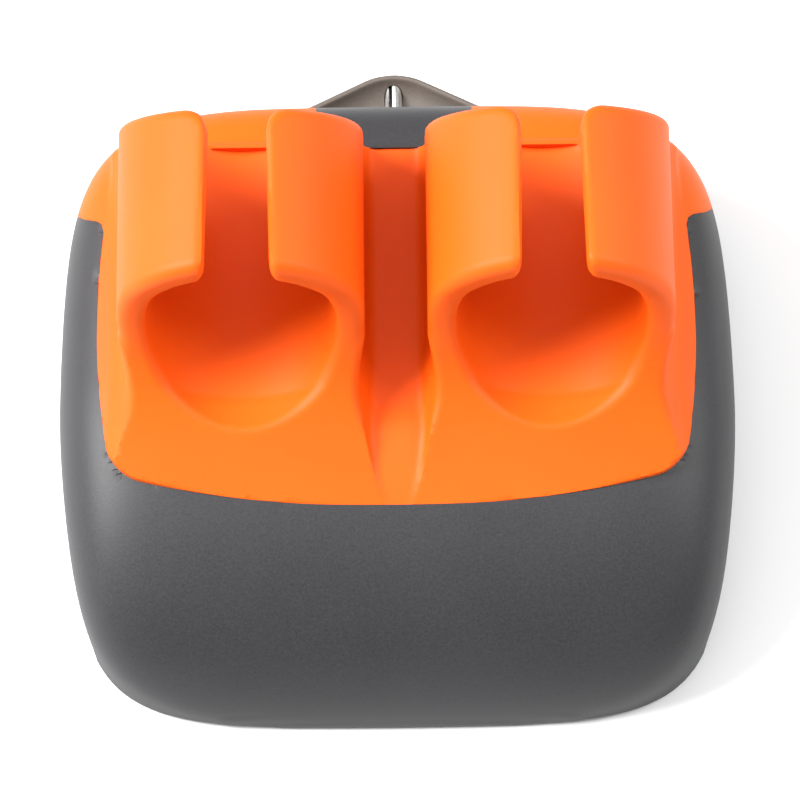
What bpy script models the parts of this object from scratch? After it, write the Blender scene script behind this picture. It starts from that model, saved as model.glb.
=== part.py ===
"""Two-finger palm peeler, built as separate pieces.

A domed grey shell fits under the hand. A soft orange grip is moulded into a recess in its top and
carries two open finger loops. A blade frame is screwed up into the shell from below; its front end
pokes out as a pointed beak. A slotted swivel blade hangs in the frame on two rolled spring pins.

Frame: +Z up, +Y the way the fingers point, +X to the right. The origin is under the middle of the
object, on the surface that its four corner feet stand on. Metres throughout.
"""

import math

import bmesh
import bpy
import numpy as np
from mathutils import Matrix, Vector

MM = 0.001

# The dome: half width, front and rear reach from its centre, and height of its crown.
DOME_HALF_WIDTH = 37.4 * MM
DOME_FRONT_REACH = 32.5 * MM
DOME_REAR_REACH = 33.5 * MM
DOME_CENTRE_Y = -3.0 * MM
DOME_HEIGHT = 22.0 * MM
FRONT_LEAN = 3.0 * MM          # how far the front wall's foot stands ahead of its top
LEAN_START = 0.0
LEAN_FULL = 25.0 * MM
OUTLINE_POWER = 4.6            # superellipse power of the outline: 2 is an ellipse, 4 a rounded square
FRONT_POWER = 13.0             # power of the section: high is a tight shoulder, 2 a quarter ellipse
SIDE_POWER = 5.0
REAR_POWER = 2.3
FRONT_TAPER = 0.028            # share of the width lost towards each end
REAR_TAPER = 0.044
TAPER_FULL = 0.62              # reached at this share of the way to an end
DOME_SECTORS = 56
DOME_RINGS = 11

# Skins, counted inwards from the outer surface of the dome.
GRIP_SKIN = 2.0 * MM
CLEARANCE = 0.3 * MM
SHELL_WALL = 2.0 * MM
RECESS_DEPTH = GRIP_SKIN + CLEARANCE
CAVITY_DEPTH = RECESS_DEPTH + SHELL_WALL

# The orange grip's outline on the dome.
PAD_HALF_WIDTH = 31.6 * MM
PAD_BULGE = 0.5 * MM
PAD_REAR_Y = -17.6 * MM
PAD_REAR_SAG = 2.8 * MM        # its rear edge bows backwards by this much
PAD_CORNER_RADIUS = 3.0 * MM
CHEEK_Y = 15.5 * MM            # where the grip widens to wrap round the front corners
CHEEK_Z = 19.5 * MM
CHEEK_RAKE = 0.44              # forward run for each unit down
CHEEK_FOOT_Z = 6.0 * MM
KEY_HALF_WIDTH = 8.6 * MM      # grey centre piece between the two cheeks
CREASE_Y = 22.9 * MM
FLOOR_SINK = 0.7 * MM          # finger floor lies this far below the front lip
FLOOR_SINK_START_Y = -9.0 * MM
FLOOR_HALF_WIDTH = 28.5 * MM

# The finger loops.
LOOP_CENTRE_X = 16.0 * MM
BORE_RADIUS = 10.0 * MM
LOOP_WALL = 2.9 * MM
LOOP_RADIUS = BORE_RADIUS + LOOP_WALL
LOOP_CENTRE_Z = DOME_HEIGHT + BORE_RADIUS
LOOP_FILLET = 3.0 * MM
LOOP_FRONT_Y = 17.2 * MM       # at the top; the front face leans forward on its way down
LOOP_FRONT_LEAN = 1.3 * MM
LOOP_REAR_Y = -0.85 * MM
SLOT_HALF_WIDTH = 3.15 * MM
SLOT_FRONT_RADIUS = 3.2 * MM
SLOT_REAR_RADIUS = 1.4 * MM
RAMP_FOOT_Y = -9.5 * MM        # where the bore's floor runs out of the ramp
RAMP_END_Y = -18.0 * MM

# Side arches, which let the vegetable reach the blade.
ARCH_HEIGHT = 7.2 * MM
ARCH_CENTRE_Y = -3.5 * MM
ARCH_HALF_LENGTH = 24.0 * MM
ARCH_POWER = 3.0

# The blade frame.
PLATE_BOTTOM_Z = 7.5 * MM
PLATE_TOP_Z = 10.0 * MM
WINDOW_HALF_WIDTH = 15.0 * MM
WINDOW_FRONT_Y = 22.4 * MM
WINDOW_REAR_Y = -25.9 * MM
BEARING_BOTTOM_Z = 4.6 * MM
BEARING_HALF_WIDTH = 6.7 * MM
FRONT_BEARING_TOP_Z = 13.2 * MM
FRONT_BEARING_END_Y = 25.4 * MM
REAR_BEARING_END_Y = -31.0 * MM
STOP_PEG_RADIUS = 0.8 * MM
STOP_PEG_LENGTH = 1.6 * MM
STOP_PEG_X = 5.4 * MM
STOP_PEG_RISE = 3.9 * MM

# The beak, in plan.
BEAK_TIP_Y = 37.1 * MM
BEAK_TIP_RADIUS = 7.5 * MM
BEAK_FLANK_ANGLE = math.radians(26.7)
BEAK_BASE_Y = 31.6 * MM
BEAK_ROOT_Y = 23.4 * MM
BEAK_WALL = 1.3 * MM
BEAK_BOTTOM_Z = 3.4 * MM
BEAK_FLOOR_Z = 4.6 * MM
BEAK_RIM_Z = 10.0 * MM

# The swivel blade and its pins.
PIVOT_Z = 8.2 * MM
PIN_RADIUS = 1.0 * MM
PIN_BORE = 0.55 * MM
PIN_SLIT = 0.45 * MM
PIN_SLIT_ANGLE = math.radians(112.0)
PIN_HOLE_RADIUS = 1.15 * MM
FRONT_PIN_END_Y = 36.6 * MM
FRONT_PIN_START_Y = 19.6 * MM
REAR_PIN_START_Y = -23.2 * MM
REAR_PIN_END_Y = -29.0 * MM
BLADE_FRONT_Y = 21.9 * MM
BLADE_REAR_Y = -25.4 * MM
BLADE_HALF_WIDTH = 6.5 * MM
BLADE_CURVE_RADIUS = 9.0 * MM
BLADE_THICKNESS = 0.6 * MM
BLADE_DROP = 3.0 * MM          # bottom of the trough below the pivot
BLADE_SLOT_HALF_WIDTH = 1.2 * MM
BLADE_SLOT_MARGIN = 4.5 * MM
EAR_THICKNESS = 0.8 * MM
EAR_HALF_WIDTH = 3.0 * MM
EAR_RISE = 2.2 * MM

# Screws that hold the frame in the shell, and the bosses they bite into.
SCREW_PLACES = {"front_left": (-22.5, 15.0), "front_right": (22.5, 15.0),
                "rear_left": (-20.5, -19.0), "rear_right": (20.5, -19.0)}
BOSS_RADIUS = 2.6 * MM
PILOT_RADIUS = 1.25 * MM
SCREW_SHANK_RADIUS = 1.0 * MM
SCREW_HOLE_RADIUS = 1.3 * MM
SCREW_HEAD_RADIUS = 1.9 * MM
SCREW_HEAD_HEIGHT = 1.1 * MM
COUNTERBORE_RADIUS = 2.2 * MM
COUNTERBORE_DEPTH = 1.3 * MM
SCREW_LENGTH = 4.8 * MM        # below the head
CROSS_HALF_LENGTH = 1.15 * MM
CROSS_HALF_WIDTH = 0.28 * MM
CROSS_DEPTH = 0.7 * MM

FAR = 60.0 * MM                # longer than anything a cutter has to pass through


# ---------------------------------------------------------------- materials

def make_material(name, colour, roughness, metallic=0.0):
    material = bpy.data.materials.new(name)
    material.use_nodes = True
    shader = material.node_tree.nodes["Principled BSDF"]
    shader.inputs["Base Color"].default_value = (*colour, 1.0)
    shader.inputs["Roughness"].default_value = roughness
    shader.inputs["Metallic"].default_value = metallic
    return material


# ---------------------------------------------------------------- objects

def clear_scene():
    for obj in list(bpy.data.objects):
        bpy.data.objects.remove(obj)


def object_from_bmesh(name, mesh_data, material=None):
    """Turns a bmesh into an object, with its faces pointing out."""
    bmesh.ops.recalc_face_normals(mesh_data, faces=mesh_data.faces)
    mesh = bpy.data.meshes.new(name)
    mesh_data.to_mesh(mesh)
    mesh_data.free()
    mesh.shade_smooth()
    mesh.set_sharp_from_angle(angle=math.radians(35))
    obj = bpy.data.objects.new(name, mesh)
    bpy.context.scene.collection.objects.link(obj)
    if material:
        obj.data.materials.append(material)
    return obj


def as_cutter(obj):
    obj.hide_render = True
    obj.display_type = "WIRE"
    return obj


def combine(obj, operation, other):
    """Adds a Boolean with another object, which stays in the file as a wire helper."""
    as_cutter(other)
    modifier = obj.modifiers.new(operation.title() + " " + other.name, "BOOLEAN")
    modifier.operation = operation
    modifier.object = other
    modifier.solver = "EXACT"
    return obj


def prism(name, outline, low, high, axis="Z", material=None):
    """A flat outline, carried from low to high along an axis.

    The outline's pairs are (x, y) for Z, (y, z) for X and (x, z) for Y.
    """
    place = {"Z": lambda u, v, w: (u, v, w),
             "X": lambda u, v, w: (w, u, v),
             "Y": lambda u, v, w: (u, w, v)}[axis]
    mesh_data = bmesh.new()
    ends = [[mesh_data.verts.new(place(u, v, w)) for u, v in outline] for w in (low, high)]
    mesh_data.faces.new(ends[0])
    mesh_data.faces.new(ends[1])
    count = len(outline)
    for i in range(count):
        j = (i + 1) % count
        mesh_data.faces.new((ends[0][i], ends[0][j], ends[1][j], ends[1][i]))
    return object_from_bmesh(name, mesh_data, material)


def box(name, low, high, material=None):
    outline = [(low[0], low[1]), (high[0], low[1]), (high[0], high[1]), (low[0], high[1])]
    return prism(name, outline, low[2], high[2], "Z", material)


def arc(centre, radius, start, end, steps):
    """Points on an arc, from one angle to another, both ends included."""
    angles = np.linspace(start, end, steps + 1)
    return [(centre[0] + radius * math.cos(a), centre[1] + radius * math.sin(a)) for a in angles]


def rod(name, radius, low, high, centre, axis, sides=20, material=None):
    """A plain cylinder along an axis, through a centre given in the plane across it."""
    outline = arc(centre, radius, 0, math.tau, sides)[:-1]
    return prism(name, outline, low, high, axis, material)


# ---------------------------------------------------------------- dome

def lean_at(y, z):
    """Forward shift of the front wall: none at the crown, full at the foot."""
    share = min(1.0, max(0.0, (y - LEAN_START) / (LEAN_FULL - LEAN_START)))
    return FRONT_LEAN * (1.0 - z / DOME_HEIGHT) * share * share * (3.0 - 2.0 * share)


def section_power(sine):
    """Power of the section in a direction, from the sine of the outline's own angle."""
    end_power = FRONT_POWER if sine > 0 else REAR_POWER
    return SIDE_POWER + (end_power - SIDE_POWER) * sine * sine


def taper_at(reach_share, forward):
    """Factor on the width, from how far along the outline reaches towards an end."""
    share = min(1.0, reach_share / TAPER_FULL)
    return 1.0 - (FRONT_TAPER if forward else REAR_TAPER) * share * share * (3.0 - 2.0 * share)


def dome_point(angle, rise, inset):
    """A point of the dome's surface. Rise runs from 0 at the foot to 1 at the crown."""
    cosine, sine = math.cos(angle), math.sin(angle)
    reach = (DOME_FRONT_REACH if sine > 0 else DOME_REAR_REACH) - inset
    power = section_power(sine)
    spread = max(0.0, math.cos(rise * math.pi / 2)) ** (2.0 / power)
    z = (DOME_HEIGHT - inset) * math.sin(rise * math.pi / 2) ** (2.0 / power)
    x = (DOME_HALF_WIDTH - inset) * math.copysign(abs(cosine) ** (2.0 / OUTLINE_POWER), cosine)
    along = abs(sine) ** (2.0 / OUTLINE_POWER)
    y = DOME_CENTRE_Y + reach * math.copysign(along, sine) * spread
    return x * taper_at(along, sine > 0) * spread, y + lean_at(y, z), z


def dome(name, inset, foot_z=0.0, material=None):
    """Closed solid under the dome's surface, moved inwards by the inset, down to foot_z."""
    mesh_data = bmesh.new()
    angles = [math.tau * (i + 0.5) / DOME_SECTORS for i in range(DOME_SECTORS)]
    rises = [i / DOME_RINGS for i in range(DOME_RINGS)]
    rings = [[mesh_data.verts.new(dome_point(a, r, inset)) for a in angles] for r in rises]
    if foot_z < 0:
        foot = [mesh_data.verts.new((v.co.x, v.co.y, foot_z)) for v in rings[0]]
        rings.insert(0, foot)
    crown = mesh_data.verts.new((0, DOME_CENTRE_Y, DOME_HEIGHT - inset))
    mesh_data.faces.new(rings[0])
    for lower, upper in zip(rings, rings[1:]):
        for i in range(DOME_SECTORS):
            j = (i + 1) % DOME_SECTORS
            mesh_data.faces.new((lower[i], lower[j], upper[j], upper[i]))
    for i in range(DOME_SECTORS):
        mesh_data.faces.new((rings[-1][i], rings[-1][(i + 1) % DOME_SECTORS], crown))
    return object_from_bmesh(name, mesh_data, material)


def dome_height(x, y, inset):
    """Height of the inset dome over a point in plan, leaving out the small forward lean."""
    reach = (DOME_FRONT_REACH if y > DOME_CENTRE_Y else DOME_REAR_REACH) - inset
    along = (abs(y - DOME_CENTRE_Y) / reach) ** OUTLINE_POWER
    narrowing = 1.0
    for _ in range(3):
        across = (abs(x) / narrowing / (DOME_HALF_WIDTH - inset)) ** OUTLINE_POWER
        share = along / (across + along)
        narrowing = taper_at(share ** (1.0 / OUTLINE_POWER), y > DOME_CENTRE_Y)
    power = section_power(math.copysign(math.sqrt(share), y - DOME_CENTRE_Y))
    spread = (across + along) ** (1.0 / OUTLINE_POWER)
    return (DOME_HEIGHT - inset) * (1.0 - spread ** power) ** (1.0 / power)


# ---------------------------------------------------------------- the orange grip

def pad_outline(grow):
    """Plan of the pad behind the front lip: bowed sides and rear edge, round rear corners."""
    half = PAD_HALF_WIDTH + grow
    rear = PAD_REAR_Y - grow
    radius = PAD_CORNER_RADIUS + grow
    front = CREASE_Y + grow
    corner_y = rear + radius + PAD_REAR_SAG
    left = arc((-half + radius, corner_y), radius, math.pi, 1.42 * math.pi, 5)
    right = arc((half - radius, corner_y), radius, 1.58 * math.pi, math.tau, 5)
    steps = 8
    start, end = left[-1], right[0]
    bow = [(start[0] + (end[0] - start[0]) * i / steps,
            start[1] - (start[1] - rear) * math.sin(math.pi * i / steps))
           for i in range(1, steps)]
    side = [(y, PAD_BULGE * math.sin(math.pi * (y - corner_y) / (front - corner_y)))
            for y in np.linspace(corner_y, front, 6)[1:-1]]
    right_side = [(half + bulge, y) for y, bulge in side]
    left_side = [(-half - bulge, y) for y, bulge in reversed(side)]
    return left + bow + right + right_side + [(half, front), (-half, front)] + left_side


def cheek_outline(grow):
    """Side view of the part that wraps the front corners, with a raked rear edge."""
    foot = CHEEK_FOOT_Z - grow
    top = DOME_HEIGHT + FAR / 2
    at = lambda z: CHEEK_Y + (CHEEK_Z - z) * CHEEK_RAKE - grow
    return [(at(foot), foot), (FAR, foot), (FAR, top), (at(top), top)]


def grip_region(name, grow):
    """Everything over the dome that belongs to the grip, grown sideways by a clearance."""
    region = prism(name, pad_outline(grow), 11.0 * MM, FAR, "Z")
    front = prism(name + "_front", cheek_outline(grow), -FAR, FAR, "X")
    combine(region, "UNION", front)
    key_half = KEY_HALF_WIDTH - grow
    key = box(name + "_key", (-key_half, CREASE_Y + grow, -FAR), (key_half, 2 * FAR, 2 * FAR))
    return combine(region, "DIFFERENCE", key)


def loop_outline(centre_x):
    """Front view of a finger loop's outside: a round tube that flares into the pad."""
    reach = math.sqrt((LOOP_RADIUS + LOOP_FILLET) ** 2 - (BORE_RADIUS - LOOP_FILLET) ** 2)
    fall = math.atan2(BORE_RADIUS - LOOP_FILLET, reach)
    base = DOME_HEIGHT - 4.0 * MM
    right_fillet = arc((centre_x + reach, DOME_HEIGHT + LOOP_FILLET), LOOP_FILLET,
                       1.5 * math.pi, math.pi - fall, 4)
    tube = arc((centre_x, LOOP_CENTRE_Z), LOOP_RADIUS, -fall, math.pi + fall, 26)
    left_fillet = arc((centre_x - reach, DOME_HEIGHT + LOOP_FILLET), LOOP_FILLET,
                      fall, -0.5 * math.pi, 4)
    return ([(centre_x - reach, base), (centre_x + reach, base)]
            + right_fillet + tube[1:-1] + left_fillet)


def ramp_outline():
    """Side view of a finger loop: upright front, level top, and a ramp down to the pad."""
    top = LOOP_CENTRE_Z + LOOP_RADIUS + 1.0 * MM
    base = DOME_HEIGHT - 5.0 * MM
    ramp_end_z = dome_height(LOOP_CENTRE_X, RAMP_END_Y, 0) - 0.6 * MM
    shoulder = (LOOP_REAR_Y, LOOP_CENTRE_Z + 1.5 * MM)
    knee = (LOOP_REAR_Y - 0.4 * MM, LOOP_CENTRE_Z - 1.0 * MM)
    foot = (RAMP_FOOT_Y, DOME_HEIGHT)
    foot_blend = (RAMP_FOOT_Y - 3.0 * MM, DOME_HEIGHT - 0.9 * MM)
    front = LOOP_FRONT_Y + LOOP_FRONT_LEAN
    return [(RAMP_END_Y, base), (front, base), (front, LOOP_CENTRE_Z), (LOOP_FRONT_Y, top),
            (LOOP_REAR_Y, top),
            shoulder, knee, foot, foot_blend, (RAMP_END_Y, ramp_end_z)]


def slot_outline(centre_x):
    """Plan of the slot along a loop's top, flared where it meets the front and rear ends."""
    def flare(y_end, radius, outward):
        centre_y = y_end - outward * radius
        start, end = (math.pi, math.pi / 2) if outward > 0 else (-math.pi / 2, -math.pi)
        return arc((centre_x + SLOT_HALF_WIDTH + radius, centre_y), radius, start, end, 5)
    front_right = flare(LOOP_FRONT_Y, SLOT_FRONT_RADIUS, 1)
    rear_right = flare(LOOP_REAR_Y, SLOT_REAR_RADIUS, -1)
    beyond = 2.0 * MM
    right = (rear_right[:1] and [(rear_right[0][0], LOOP_REAR_Y - beyond)]) + rear_right
    right += front_right + [(front_right[-1][0], LOOP_FRONT_Y + beyond)]
    left = [(2 * centre_x - x, y) for x, y in reversed(right)]
    return right + left


def finger_loop(side, centre_x):
    loop = prism("loop_" + side, loop_outline(centre_x), RAMP_END_Y + 0.2 * MM,
                 LOOP_FRONT_Y + 3.0 * MM, "Y")
    combine(loop, "INTERSECT", prism("ramp_" + side, ramp_outline(), centre_x - 20 * MM,
                                     centre_x + 20 * MM, "X"))
    bore = rod("bore_" + side, BORE_RADIUS, -FAR, FAR, (centre_x, LOOP_CENTRE_Z), "Y", 32)
    combine(loop, "DIFFERENCE", bore)
    slot = prism("slot_" + side, slot_outline(centre_x), LOOP_CENTRE_Z + 4.0 * MM, FAR, "Z")
    return combine(loop, "DIFFERENCE", slot)


def build_grip(material):
    grip = dome("finger_grip", 0.0, material=material)
    floor = [(FLOOR_SINK_START_Y, DOME_HEIGHT + 0.2 * MM), (CREASE_Y, DOME_HEIGHT - 0.2 * MM - FLOOR_SINK),
             (CREASE_Y, FAR), (FLOOR_SINK_START_Y, FAR)]
    combine(grip, "DIFFERENCE", prism("floor_cut", floor, -FLOOR_HALF_WIDTH, FLOOR_HALF_WIDTH, "X"))
    for side, sign in (("left", -1), ("right", 1)):
        combine(grip, "UNION", finger_loop(side, sign * LOOP_CENTRE_X))
    combine(grip, "INTERSECT", grip_region("grip_region", 0.0))
    combine(grip, "DIFFERENCE", dome("grip_inside", GRIP_SKIN, -5 * MM))
    return combine(grip, "DIFFERENCE", beak_gate("grip_gate", 0.6 * MM))


# ---------------------------------------------------------------- the shell

def arch_outline(height):
    steps = 14
    ys = np.linspace(-1.0, 1.0, steps + 1)
    curve = [(ARCH_CENTRE_Y + ARCH_HALF_LENGTH * y,
              height * (1.0 - abs(y) ** ARCH_POWER) ** (1.0 / ARCH_POWER)) for y in ys]
    below = -3.0 * MM
    return ([(curve[-1][0], below)] + curve[::-1] + [(curve[0][0], below)])


def beak_gate(name, gap):
    """Opening in the front wall that the frame's beak passes through."""
    half = beak_half_width() + gap
    return box(name, (-half, 20 * MM, -5 * MM), (half, FAR, BEAK_RIM_Z + gap))


def build_shell(material):
    shell = dome("top_shell", 0.0, material=material)
    recess = grip_region("recess_region", CLEARANCE)
    combine(recess, "DIFFERENCE", dome("recess_floor", RECESS_DEPTH, -5 * MM))
    combine(shell, "DIFFERENCE", recess)
    combine(shell, "DIFFERENCE", dome("cavity", CAVITY_DEPTH, -5 * MM))
    for name, (x, y) in SCREW_PLACES.items():
        roof = dome_height(x * MM, y * MM, CAVITY_DEPTH)
        combine(shell, "UNION", rod("boss_" + name, BOSS_RADIUS, PLATE_TOP_Z + CLEARANCE,
                                    roof + 0.9 * MM, (x * MM, y * MM), "Z", 16))
        combine(shell, "DIFFERENCE", rod("pilot_" + name, PILOT_RADIUS, 0, roof + 0.1 * MM,
                                         (x * MM, y * MM), "Z", 14))
    arch = prism("side_arch", arch_outline(ARCH_HEIGHT), -FAR, FAR, "X")
    combine(shell, "DIFFERENCE", arch)
    return combine(shell, "DIFFERENCE", beak_gate("shell_gate", CLEARANCE))


# ---------------------------------------------------------------- the blade frame

def beak_half_width():
    """Half width where the flanks meet the straight sides."""
    tangent_x = BEAK_TIP_RADIUS * math.sin(BEAK_FLANK_ANGLE)
    tangent_drop = BEAK_TIP_RADIUS * (1 - math.cos(BEAK_FLANK_ANGLE))
    fall = BEAK_TIP_Y - BEAK_BASE_Y - tangent_drop
    return tangent_x + fall / math.tan(BEAK_FLANK_ANGLE)


def beak_outline(inset, root_y):
    """Plan of the beak: straight sides, raked flanks and a round tip."""
    radius = BEAK_TIP_RADIUS - inset
    tip = arc((0, BEAK_TIP_Y - BEAK_TIP_RADIUS), radius, math.pi / 2 - BEAK_FLANK_ANGLE,
              math.pi / 2 + BEAK_FLANK_ANGLE, 8)
    half = beak_half_width() - inset
    base_y = BEAK_BASE_Y - inset * math.tan(BEAK_FLANK_ANGLE / 2)
    return [(half, root_y), (half, base_y)] + tip + [(-half, base_y), (-half, root_y)]


def build_frame(material):
    slab = 40 * MM
    frame = box("blade_frame", (-slab, -slab, PLATE_BOTTOM_Z), (slab, slab, PLATE_TOP_Z), material)
    window = box("window", (-WINDOW_HALF_WIDTH, WINDOW_REAR_Y, 0),
                 (WINDOW_HALF_WIDTH, WINDOW_FRONT_Y, FAR))
    combine(frame, "DIFFERENCE", window)
    rear = box("rear_bearing", (-BEARING_HALF_WIDTH, REAR_BEARING_END_Y, BEARING_BOTTOM_Z),
               (BEARING_HALF_WIDTH, WINDOW_REAR_Y, PLATE_TOP_Z - 0.1 * MM))
    combine(frame, "UNION", rear)
    front = box("front_bearing", (-BEARING_HALF_WIDTH, WINDOW_FRONT_Y, BEARING_BOTTOM_Z),
                (BEARING_HALF_WIDTH, FRONT_BEARING_END_Y, FRONT_BEARING_TOP_Z))
    combine(frame, "UNION", front)
    combine(frame, "INTERSECT", dome("frame_limit", CAVITY_DEPTH + CLEARANCE, -5 * MM))
    for side in (-1, 1):
        peg = rod(f"stop_peg_{side}", STOP_PEG_RADIUS, WINDOW_FRONT_Y - STOP_PEG_LENGTH,
                  WINDOW_FRONT_Y + 1.0 * MM, (side * STOP_PEG_X, PIVOT_Z + STOP_PEG_RISE), "Y", 12)
        combine(frame, "UNION", peg)
    beak = prism("beak", beak_outline(0, BEAK_ROOT_Y), BEAK_BOTTOM_Z, BEAK_RIM_Z, "Z")
    pocket = prism("beak_pocket", beak_outline(BEAK_WALL, FRONT_BEARING_END_Y + 0.4 * MM),
                   BEAK_FLOOR_Z, FAR, "Z")
    combine(beak, "DIFFERENCE", pocket)
    combine(frame, "UNION", beak)
    combine(frame, "DIFFERENCE", rod("pin_hole", PIN_HOLE_RADIUS, -FAR, FAR, (0, PIVOT_Z), "Y", 20))
    for name, (x, y) in SCREW_PLACES.items():
        centre = (x * MM, y * MM)
        combine(frame, "DIFFERENCE", rod("screw_hole_" + name, SCREW_HOLE_RADIUS, 0, FAR, centre, "Z", 16))
        combine(frame, "DIFFERENCE", rod("counterbore_" + name, COUNTERBORE_RADIUS, 0,
                                         PLATE_BOTTOM_Z + COUNTERBORE_DEPTH, centre, "Z", 20))
    return frame


# ---------------------------------------------------------------- blade, pins and screws

def trough_outline():
    """Section of the blade: an arc that hangs below the pivot, with its middle lowest."""
    centre = (0, PIVOT_Z - BLADE_DROP + BLADE_CURVE_RADIUS)
    half_angle = math.asin(BLADE_HALF_WIDTH / BLADE_CURVE_RADIUS)
    outer = arc(centre, BLADE_CURVE_RADIUS, 1.5 * math.pi - half_angle,
                1.5 * math.pi + half_angle, 14)
    inner = arc(centre, BLADE_CURVE_RADIUS - BLADE_THICKNESS, 1.5 * math.pi + half_angle,
                1.5 * math.pi - half_angle, 14)
    return outer + inner


def move_origin(obj, origin):
    """Moves an object's own origin without moving its mesh in the world."""
    offset = Vector(origin)
    obj.data.transform(Matrix.Translation(-offset))
    obj.location = offset
    return obj


def build_blade(material):
    blade = prism("swivel_blade", trough_outline(), BLADE_REAR_Y, BLADE_FRONT_Y, "Y", material)
    move_origin(blade, (0, 0, PIVOT_Z))
    slot = box("blade_slot", (-BLADE_SLOT_HALF_WIDTH, BLADE_REAR_Y + BLADE_SLOT_MARGIN, 0),
               (BLADE_SLOT_HALF_WIDTH, BLADE_FRONT_Y - BLADE_SLOT_MARGIN, PIVOT_Z))
    combine(blade, "DIFFERENCE", slot)
    for name, low in (("front", BLADE_FRONT_Y - EAR_THICKNESS), ("rear", BLADE_REAR_Y)):
        top = arc((0, PIVOT_Z), EAR_RISE, 0, math.pi, 10)
        foot_z = PIVOT_Z - BLADE_DROP + BLADE_THICKNESS / 2
        ear_outline = [(-EAR_HALF_WIDTH, foot_z + 0.5 * MM), (0, foot_z),
                       (EAR_HALF_WIDTH, foot_z + 0.5 * MM)] + top
        combine(blade, "UNION", prism("ear_" + name, ear_outline, low + 0.01 * MM,
                                      low + EAR_THICKNESS - 0.01 * MM, "Y"))
    hole = rod("ear_hole", PIN_HOLE_RADIUS, -FAR, FAR, (0, PIVOT_Z), "Y", 20)
    return combine(blade, "DIFFERENCE", hole)


def build_pin(name, low, high, material):
    """A rolled spring pin: a thick tube with a slit along its upper left."""
    half_gap = PIN_SLIT / 2
    outer_gap, inner_gap = half_gap / PIN_RADIUS, half_gap / PIN_BORE
    outer = arc((0, PIVOT_Z), PIN_RADIUS, PIN_SLIT_ANGLE + outer_gap,
                PIN_SLIT_ANGLE + math.tau - outer_gap, 22)
    inner = arc((0, PIVOT_Z), PIN_BORE, PIN_SLIT_ANGLE + math.tau - inner_gap,
                PIN_SLIT_ANGLE + inner_gap, 22)
    pin = prism(name, outer + inner, low, high, "Y", material)
    return move_origin(pin, (0, (low + high) / 2, PIVOT_Z))


def screw_mesh(material):
    """A small pan-head screw turned from one profile, head down, with its tip up the +Z axis."""
    profile = [(0, 0), (SCREW_HEAD_RADIUS * 0.62, 0.05 * MM), (SCREW_HEAD_RADIUS, 0.5 * MM),
               (SCREW_HEAD_RADIUS, SCREW_HEAD_HEIGHT), (SCREW_SHANK_RADIUS, SCREW_HEAD_HEIGHT),
               (SCREW_SHANK_RADIUS, SCREW_HEAD_HEIGHT + SCREW_LENGTH - 1.0 * MM),
               (0, SCREW_HEAD_HEIGHT + SCREW_LENGTH)]
    sides = 16
    mesh_data = bmesh.new()
    bottom = mesh_data.verts.new((0, 0, profile[0][1]))
    tip = mesh_data.verts.new((0, 0, profile[-1][1]))
    rings = [[mesh_data.verts.new((r * math.cos(math.tau * i / sides),
                                   r * math.sin(math.tau * i / sides), z))
              for i in range(sides)] for r, z in profile[1:-1]]
    for i in range(sides):
        j = (i + 1) % sides
        mesh_data.faces.new((bottom, rings[0][j], rings[0][i]))
        for lower, upper in zip(rings, rings[1:]):
            mesh_data.faces.new((lower[i], lower[j], upper[j], upper[i]))
        mesh_data.faces.new((rings[-1][i], rings[-1][j], tip))
    first = object_from_bmesh("screw_pattern", mesh_data, material)
    mesh = first.data
    bpy.data.objects.remove(first)
    return mesh


def build_screws(material):
    """Four screws that share one mesh, each with its own cross recess cutters."""
    mesh = screw_mesh(material)
    under = PLATE_BOTTOM_Z + COUNTERBORE_DEPTH - SCREW_HEAD_HEIGHT - 0.02 * MM
    for place, (x, y) in SCREW_PLACES.items():
        screw = bpy.data.objects.new("frame_screw_" + place, mesh)
        bpy.context.scene.collection.objects.link(screw)
        screw.location = (x * MM, y * MM, under)
        for turn, (half_x, half_y) in enumerate(((CROSS_HALF_LENGTH, CROSS_HALF_WIDTH),
                                                 (CROSS_HALF_WIDTH, CROSS_HALF_LENGTH))):
            cutter = box(f"cross_{turn}_{place}", (-half_x, -half_y, -1.0 * MM),
                         (half_x, half_y, CROSS_DEPTH))
            cutter.parent = screw
            combine(screw, "DIFFERENCE", cutter)


def main():
    clear_scene()
    orange = make_material("orange_rubber", (0.94, 0.23, 0.03), 0.55)
    grey = make_material("grey_plastic", (0.105, 0.105, 0.11), 0.5)
    steel = make_material("stainless_steel", (0.62, 0.62, 0.60), 0.2, 1.0)
    build_grip(orange)
    build_shell(grey)
    build_frame(grey)
    build_blade(steel)
    build_pin("front_pivot_pin", FRONT_PIN_START_Y, FRONT_PIN_END_Y, steel)
    build_pin("rear_pivot_pin", REAR_PIN_END_Y, REAR_PIN_START_Y, steel)
    build_screws(steel)


main()
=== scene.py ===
import math

import bpy
import numpy as np
from mathutils import Matrix, Vector


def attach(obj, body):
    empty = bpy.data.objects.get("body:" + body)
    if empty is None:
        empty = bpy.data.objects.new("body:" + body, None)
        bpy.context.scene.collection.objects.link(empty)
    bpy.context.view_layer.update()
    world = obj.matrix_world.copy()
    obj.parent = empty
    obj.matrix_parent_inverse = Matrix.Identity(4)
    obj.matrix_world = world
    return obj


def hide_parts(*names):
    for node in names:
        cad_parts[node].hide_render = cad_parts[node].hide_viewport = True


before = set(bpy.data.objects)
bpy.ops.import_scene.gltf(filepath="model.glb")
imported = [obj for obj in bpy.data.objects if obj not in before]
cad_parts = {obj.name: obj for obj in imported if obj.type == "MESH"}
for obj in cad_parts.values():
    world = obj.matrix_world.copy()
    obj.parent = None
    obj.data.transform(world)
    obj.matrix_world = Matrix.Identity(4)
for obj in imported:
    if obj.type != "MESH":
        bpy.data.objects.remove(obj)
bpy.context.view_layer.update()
print("frame loaded:", ", ".join(sorted(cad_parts)))

mm = 0.001  # every shape below is worked out in millimetres


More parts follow.
